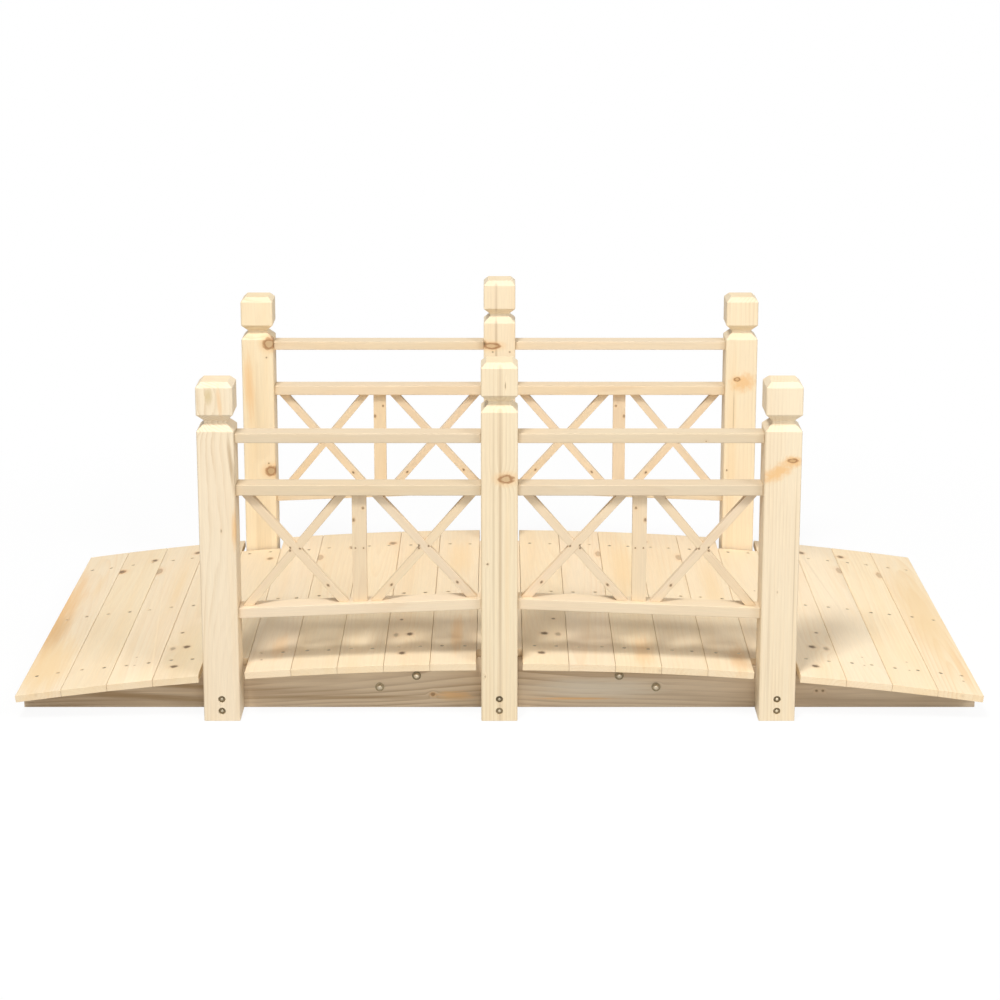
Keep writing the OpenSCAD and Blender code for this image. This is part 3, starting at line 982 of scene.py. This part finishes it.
def fastener_tree(name, sizes, build_head):
    """A tree that sets one head on every point, turned to the point's own direction out of the wood."""
    inputs = [("Places", GEOMETRY)] + [(label, VALUE) for label in sizes]
    inputs += [("Finish", MATERIAL), ("Turn Seed", WHOLE_NUMBER)]
    tree, start, end = group(name, inputs, [("Fasteners", GEOMETRY)], "GeometryNodeTree")
    out = place(tree, "GeometryNodeInputNamedAttribute", {"Name": "out"}, data_type="FLOAT_VECTOR")
    ends = {"Vector": out.outputs["Attribute"]}
    facing = place(tree, "FunctionNodeAlignRotationToVector", ends, axis="Z")
    angle = place(tree, "FunctionNodeRandomValue", data_type="FLOAT")
    put(tree, angle.inputs[3], math.tau)
    put(tree, angle.inputs["Seed"], start["Turn Seed"])
    spin = place(tree, "FunctionNodeAxisAngleToRotation", {"Axis": UPWARD, "Angle": angle.outputs[1]})
    turn = place(
        tree, "FunctionNodeRotateRotation",
        {"Rotation": facing.outputs[0], "Rotate By": spin.outputs[0]}, rotation_space="LOCAL",
    )
    heads = place(
        tree, "GeometryNodeInstanceOnPoints",
        {"Points": start["Places"], "Instance": build_head(tree, start), "Rotation": turn.outputs[0]},
    )
    real = place(tree, "GeometryNodeRealizeInstances", {0: heads.outputs[0]})
    ends = {"Geometry": real.outputs[0], "Material": start["Finish"]}
    finish = place(tree, "GeometryNodeSetMaterial", ends)
    put(tree, end["Fasteners"], finish.outputs[0])
    return tree


def moved(tree, geometry, shift=(0, 0, 0), scale=(1, 1, 1)):
    ends = {"Geometry": geometry, "Translation": shift, "Scale": scale}
    return place(tree, "GeometryNodeTransform", ends).outputs[0]


def up(tree, height):
    return vector_from(tree, z=height)


def box(tree, x, y, z):
    return place(tree, "GeometryNodeMeshCube", {"Size": vector_from(tree, x, y, z)}).outputs["Mesh"]


def disc(tree, diameter, height, sides):
    radius = times(tree, diameter, 0.5)
    ends = {"Vertices": sides, "Radius": radius, "Depth": height}
    return place(tree, "GeometryNodeMeshCylinder", ends).outputs["Mesh"]


def joined(tree, *shapes):
    made = place(tree, "GeometryNodeJoinGeometry")
    for shape in shapes:
        tree.links.new(shape, made.inputs[0])
    return made.outputs[0]


def cut_out(tree, solid, *tools):
    made = place(tree, "GeometryNodeMeshBoolean", operation="DIFFERENCE", solver="EXACT")
    tree.links.new(solid, made.inputs["Mesh 1"])
    for tool in tools:
        tree.links.new(tool, made.inputs["Mesh 2"])
    return made.outputs["Mesh"]


def smooth(tree, geometry):
    return place(tree, "GeometryNodeSetShadeSmooth", {"Geometry": geometry}).outputs[0]


def dome(tree, diameter, height):
    """Closed low dome on the plane Z = 0, half of it below."""
    ends = {"Segments": ROUND_SIDES, "Rings": DOME_RINGS, "Radius": 1.0}
    ball = place(tree, "GeometryNodeMeshUVSphere", ends).outputs["Mesh"]
    radius = times(tree, diameter, 0.5)
    return smooth(tree, moved(tree, ball, scale=vector_from(tree, radius, radius, height)))


def screw_head(tree, sizes):
    """Sunk flat head with a cross recess, its top below the face of the board."""
    width = sizes["Head Diameter"]
    top = times(tree, width, SCREW_EDGE_R)
    neck = times(tree, width, SCREW_NECK_R)
    tall = times(tree, width, SCREW_TALL)
    ends = {"Vertices": SCREW_SIDES, "Radius Top": top, "Radius Bottom": neck, "Depth": tall}
    head = place(tree, "GeometryNodeMeshCone", ends).outputs["Mesh"]
    base = calc(tree, "SUBTRACT", times(tree, sizes["Sunk"], -1.0), tall)
    arm = times(tree, width, RECESS_LONG)
    slim = times(tree, width, RECESS_WIDE)
    level = up(tree, tall)
    slots = [moved(tree, box(tree, *spans), level) for spans in ((arm, slim, tall), (slim, arm, tall))]
    return moved(tree, cut_out(tree, head, *slots), up(tree, base))


def post_bolt_head(tree, sizes):
    """Bolt end with a rounded tip that stands in the middle of its hole."""
    width = sizes["Head Diameter"]
    tall = calc(tree, "SUBTRACT", sizes["Hole Depth"], sizes["Sunk"])
    middle = times(tree, calc(tree, "ADD", sizes["Hole Depth"], sizes["Sunk"]), -0.5)
    stem = moved(tree, disc(tree, width, tall, ROUND_SIDES), up(tree, middle))
    tip = dome(tree, width, times(tree, width, BOLT_TIP))
    return joined(tree, stem, moved(tree, tip, up(tree, times(tree, sizes["Sunk"], -1.0))))


def washer(tree, sizes):
    """Plain ring, half let into the wood it lies on."""
    outer = disc(tree, sizes["Outer Diameter"], sizes["Thickness"], WASHER_SIDES)
    through = times(tree, sizes["Thickness"], 2.0)
    inner = disc(tree, sizes["Inner Diameter"], through, ROUND_SIDES)
    return moved(tree, cut_out(tree, outer, inner), up(tree, times(tree, sizes["Sunk"], -1.0)))


def coach_head(tree, sizes):
    """Domed bolt head."""
    return dome(tree, sizes["Head Diameter"], sizes["Head Height"])


def nut_end(tree, sizes):
    """Hexagon nut with the end of the bolt through it."""
    half_nut = times(tree, sizes["Nut Height"], 0.5)
    nut = disc(tree, sizes["Nut Width"], sizes["Nut Height"], NUT_SIDES)
    half_stud = times(tree, sizes["Stud Length"], 0.5)
    stud = disc(tree, sizes["Stud Diameter"], sizes["Stud Length"], STUD_SIDES)
    return joined(tree, moved(tree, nut, up(tree, half_nut)), moved(tree, stud, up(tree, half_stud)))


def fasteners(name, places, sizes, build_head, finish, turn_seed):
    """One plain mesh of heads, one on each place."""
    mesh = bpy.data.meshes.new(f"{name}_places")
    mesh.from_pydata([spot for spot, _ in places], [], [])
    write_attribute(mesh, "out", [list(out) for _, out in places])
    write_attribute(mesh, "tone", [draw.uniform(*HEAD_TONES) for _ in places])
    maker = new_object(f"{name}_places", mesh)
    tree = fastener_tree(name, sizes, build_head)
    modifier = maker.modifiers.new(name, "NODES")
    modifier.node_group = tree
    sockets = {item.name: item.identifier for item in tree.interface.items_tree if item.in_out == "INPUT"}
    for label, size in sizes.items():
        modifier[sockets[label]] = size
    modifier[sockets["Finish"]] = finish
    modifier[sockets["Turn Seed"]] = turn_seed
    heads = plain_mesh(maker)
    bpy.data.objects.remove(maker)
    heads.name = name
    show(new_object(name, heads), "fastener_steel")


# The bridge

all_screws = []
for name in BOARDS:
    screws = board_screws(name)
    all_screws += screws
    sinks = [(spot, out, SCREW_HOLE_D, SCREW_HOLE_DEPTH) for spot, out in screws]
    timber(name, DECK_WOOD, "deck_wood", DECK_EASED, CROSSWISE, tuple(board_axes(name)[2]), sinks)

all_post_bolts = []
for name in POSTS:
    bolts = post_bolts(name)
    all_post_bolts += bolts
    sinks = [(spot, out, POST_HOLE_D, POST_HOLE_DEPTH) for spot, out in bolts]
    timber(name, POST_WOOD, "post_wood", POST_EASED, UPWARD, FRONT, sinks)

for name in LEVEL_RAILS + LOWER_RAILS:
    timber(name, RAIL_WOOD, "rail_wood", RAIL_EASED)
for name in BRACES + ["balusters"]:
    timber(name, BRACE_WOOD, "brace_wood", BRACE_EASED)
for name in BEAMS + ["splice_boards"]:
    timber(name, BEAM_WOOD, "beam_wood", BEAM_EASED, LENGTHWISE)

fasteners(
    "deck_screws", all_screws,
    {"Head Diameter": SCREW_D, "Sunk": SCREW_SUNK},
    screw_head, SCREW_ZINC, turn_seed=3,
)
fasteners(
    "post_bolts", all_post_bolts,
    {"Head Diameter": POST_BOLT_D, "Sunk": POST_BOLT_SUNK, "Hole Depth": POST_HOLE_DEPTH},
    post_bolt_head, SCREW_ZINC, turn_seed=5,
)
# Dark washers at the bottom of the post holes: washers, and painted shade of the holes round the bolts
fasteners(
    "post_washers_and_painted_shade", all_post_bolts,
    {
        "Outer Diameter": WASHER_FILL * POST_HOLE_D, "Inner Diameter": WASHER_GRIP * POST_BOLT_D,
        "Thickness": WASHER_T, "Sunk": POST_HOLE_DEPTH,
    },
    washer, WASHER_ZINC_AND_PAINTED_SHADE, turn_seed=7,
)
heads, nuts = beam_bolts(HEAD_FACES), beam_bolts(NUT_FACES)
fasteners(
    "beam_bolts", heads,
    {"Head Diameter": BEAM_BOLT_D, "Head Height": BEAM_BOLT_H},
    coach_head, SCREW_ZINC, turn_seed=9,
)
# Dark washers under the beam bolts' heads and nuts: washers, and a painted ring of shade round each head
fasteners(
    "beam_washers_and_painted_shade", heads + nuts,
    {"Outer Diameter": BEAM_WASHER_D, "Inner Diameter": STUD_D, "Thickness": 2 * WASHER_T, "Sunk": 0.0},
    washer, WASHER_ZINC_AND_PAINTED_SHADE, turn_seed=11,
)
fasteners(
    "beam_nuts", nuts,
    {"Nut Width": NUT_D, "Nut Height": NUT_H, "Stud Diameter": STUD_D, "Stud Length": STUD_L},
    nut_end, YELLOW_ZINC, turn_seed=13,
)


# Stage

WHITE = (1, 1, 1, 1)
FLOOR_HALF = 30
# Share of the floor's shadow that shows, where it fades, and how white the floor looks and bounces light
FLOOR_SHADOW = 0.08
FLOOR_SHADE_REACH = (0.95, 1.6)
FLOOR_SEEN = 0.95
FLOOR_BOUNCE = 0.52
# Light from all round, without the lamps
AMBIENT = 0.34
AMBIENT_TINT = (1.0, 0.98, 0.955, 1)
LAMP_DISTANCE = 6.0
# Turn from the front and rise in degrees, level, and side length of each lamp
LAMPS = {
    "left_soft_box": (-20.6, 59, 0.65, 1.1),
    "right_soft_box": (45, 38, 0.30, 2.0),
    "front_soft_box": (5, 12, 0.16, 2.5),
    "top_soft_box": (0, 90, 0.05, 4.0),
}


def seen_directly(tree):
    """1 where a surface is looked at, also by way of metal or glass."""
    path = place(tree, "ShaderNodeLightPath").outputs
    seen = calc(tree, "MAXIMUM", path["Is Camera Ray"], path["Is Glossy Ray"])
    return calc(tree, "MAXIMUM", seen, path["Is Transmission Ray"])


def studio_floor():
    """Wide white floor that keeps a soft share of the bridge's shadow near it."""
    shape = bmesh.new()
    bmesh.ops.create_grid(shape, x_segments=1, y_segments=1, size=FLOOR_HALF)
    floor = new_object("studio_floor", mesh_of(shape, "studio_floor"))
    material, tree, _ = new_material("white_floor")
    tree.nodes.clear()
    seen = seen_directly(tree)
    where = place(tree, "ShaderNodeTexCoord").outputs["Object"]
    near = step(tree, vector_calc(tree, "LENGTH", where), *FLOOR_SHADE_REACH, FLOOR_SHADOW, 0.0)
    whiteness = mix_colour(tree, seen, (FLOOR_BOUNCE,) * 3 + (1,), (FLOOR_SEEN,) * 3 + (1,))
    paper = place(tree, "ShaderNodeBsdfDiffuse", {"Color": whiteness})
    glow = place(tree, "ShaderNodeEmission", {"Color": WHITE, "Strength": 1.0})
    share = times(tree, seen, calc(tree, "SUBTRACT", 1.0, near))
    both = place(tree, "ShaderNodeMixShader", {0: share, 1: paper.outputs[0], 2: glow.outputs[0]})
    put(tree, place(tree, "ShaderNodeOutputMaterial").inputs["Surface"], both.outputs[0])
    floor.data.materials.append(material)


def studio_world():
    """Even light all round, and white where the camera looks past the floor."""
    world = bpy.data.worlds.new("studio_world")
    world.use_nodes = True
    tree = world.node_tree
    tree.nodes.clear()
    seen = seen_directly(tree)
    level = calc(tree, "MULTIPLY_ADD", seen, 1.0 - AMBIENT, AMBIENT)
    tint = mix_colour(tree, seen, AMBIENT_TINT, WHITE)
    light = place(tree, "ShaderNodeBackground", {"Color": tint, "Strength": level})
    put(tree, place(tree, "ShaderNodeOutputWorld").inputs["Surface"], light.outputs[0])
    bpy.context.scene.world = world


def soft_box(name, turn, rise, level, size):
    """Square lamp aimed at the middle of the bridge; level is what it adds to a white face turned to it."""
    data = bpy.data.lights.new(name, "AREA")
    data.shape = "SQUARE"
    data.size = size
    data.energy = level * (math.pi * LAMP_DISTANCE) ** 2
    lamp = new_object(name, data)
    towards = Vector((math.sin(turn) * math.cos(rise), -math.cos(turn) * math.cos(rise), math.sin(rise)))
    aim = Vector((0, 0, (cad_low.z + cad_high.z) / 2))
    lamp.location = aim + towards * LAMP_DISTANCE
    lamp.rotation_euler = towards.to_track_quat("Z", "Y").to_euler()


# The photograph's upright edges stay parallel. A small shift keeps part of that, and a pitch does the rest.
CAMERA_PLACE = (0.0009, -3.651, 1.376)
CAMERA_PITCH = math.radians(12.06)
CAMERA_FOCUS_PX = 2277
CAMERA_SHIFT = -0.2
IMAGE_PX = 1000
SENSOR_MM = 36


def photo_camera():
    data = bpy.data.cameras.new("photo_camera")
    data.sensor_width = SENSOR_MM
    data.lens = CAMERA_FOCUS_PX * SENSOR_MM / IMAGE_PX
    data.shift_y = CAMERA_SHIFT
    camera = new_object("photo_camera", data)
    camera.location = CAMERA_PLACE
    camera.rotation_euler = (math.pi / 2 - CAMERA_PITCH, 0, 0)
    bpy.context.scene.camera = camera


studio_floor()
studio_world()
for name, (turn, rise, level, size) in LAMPS.items():
    soft_box(name, math.radians(turn), math.radians(rise), level, size)
photo_camera()
bpy.context.scene.view_settings.view_transform = "Standard"

bpy.context.view_layer.update()
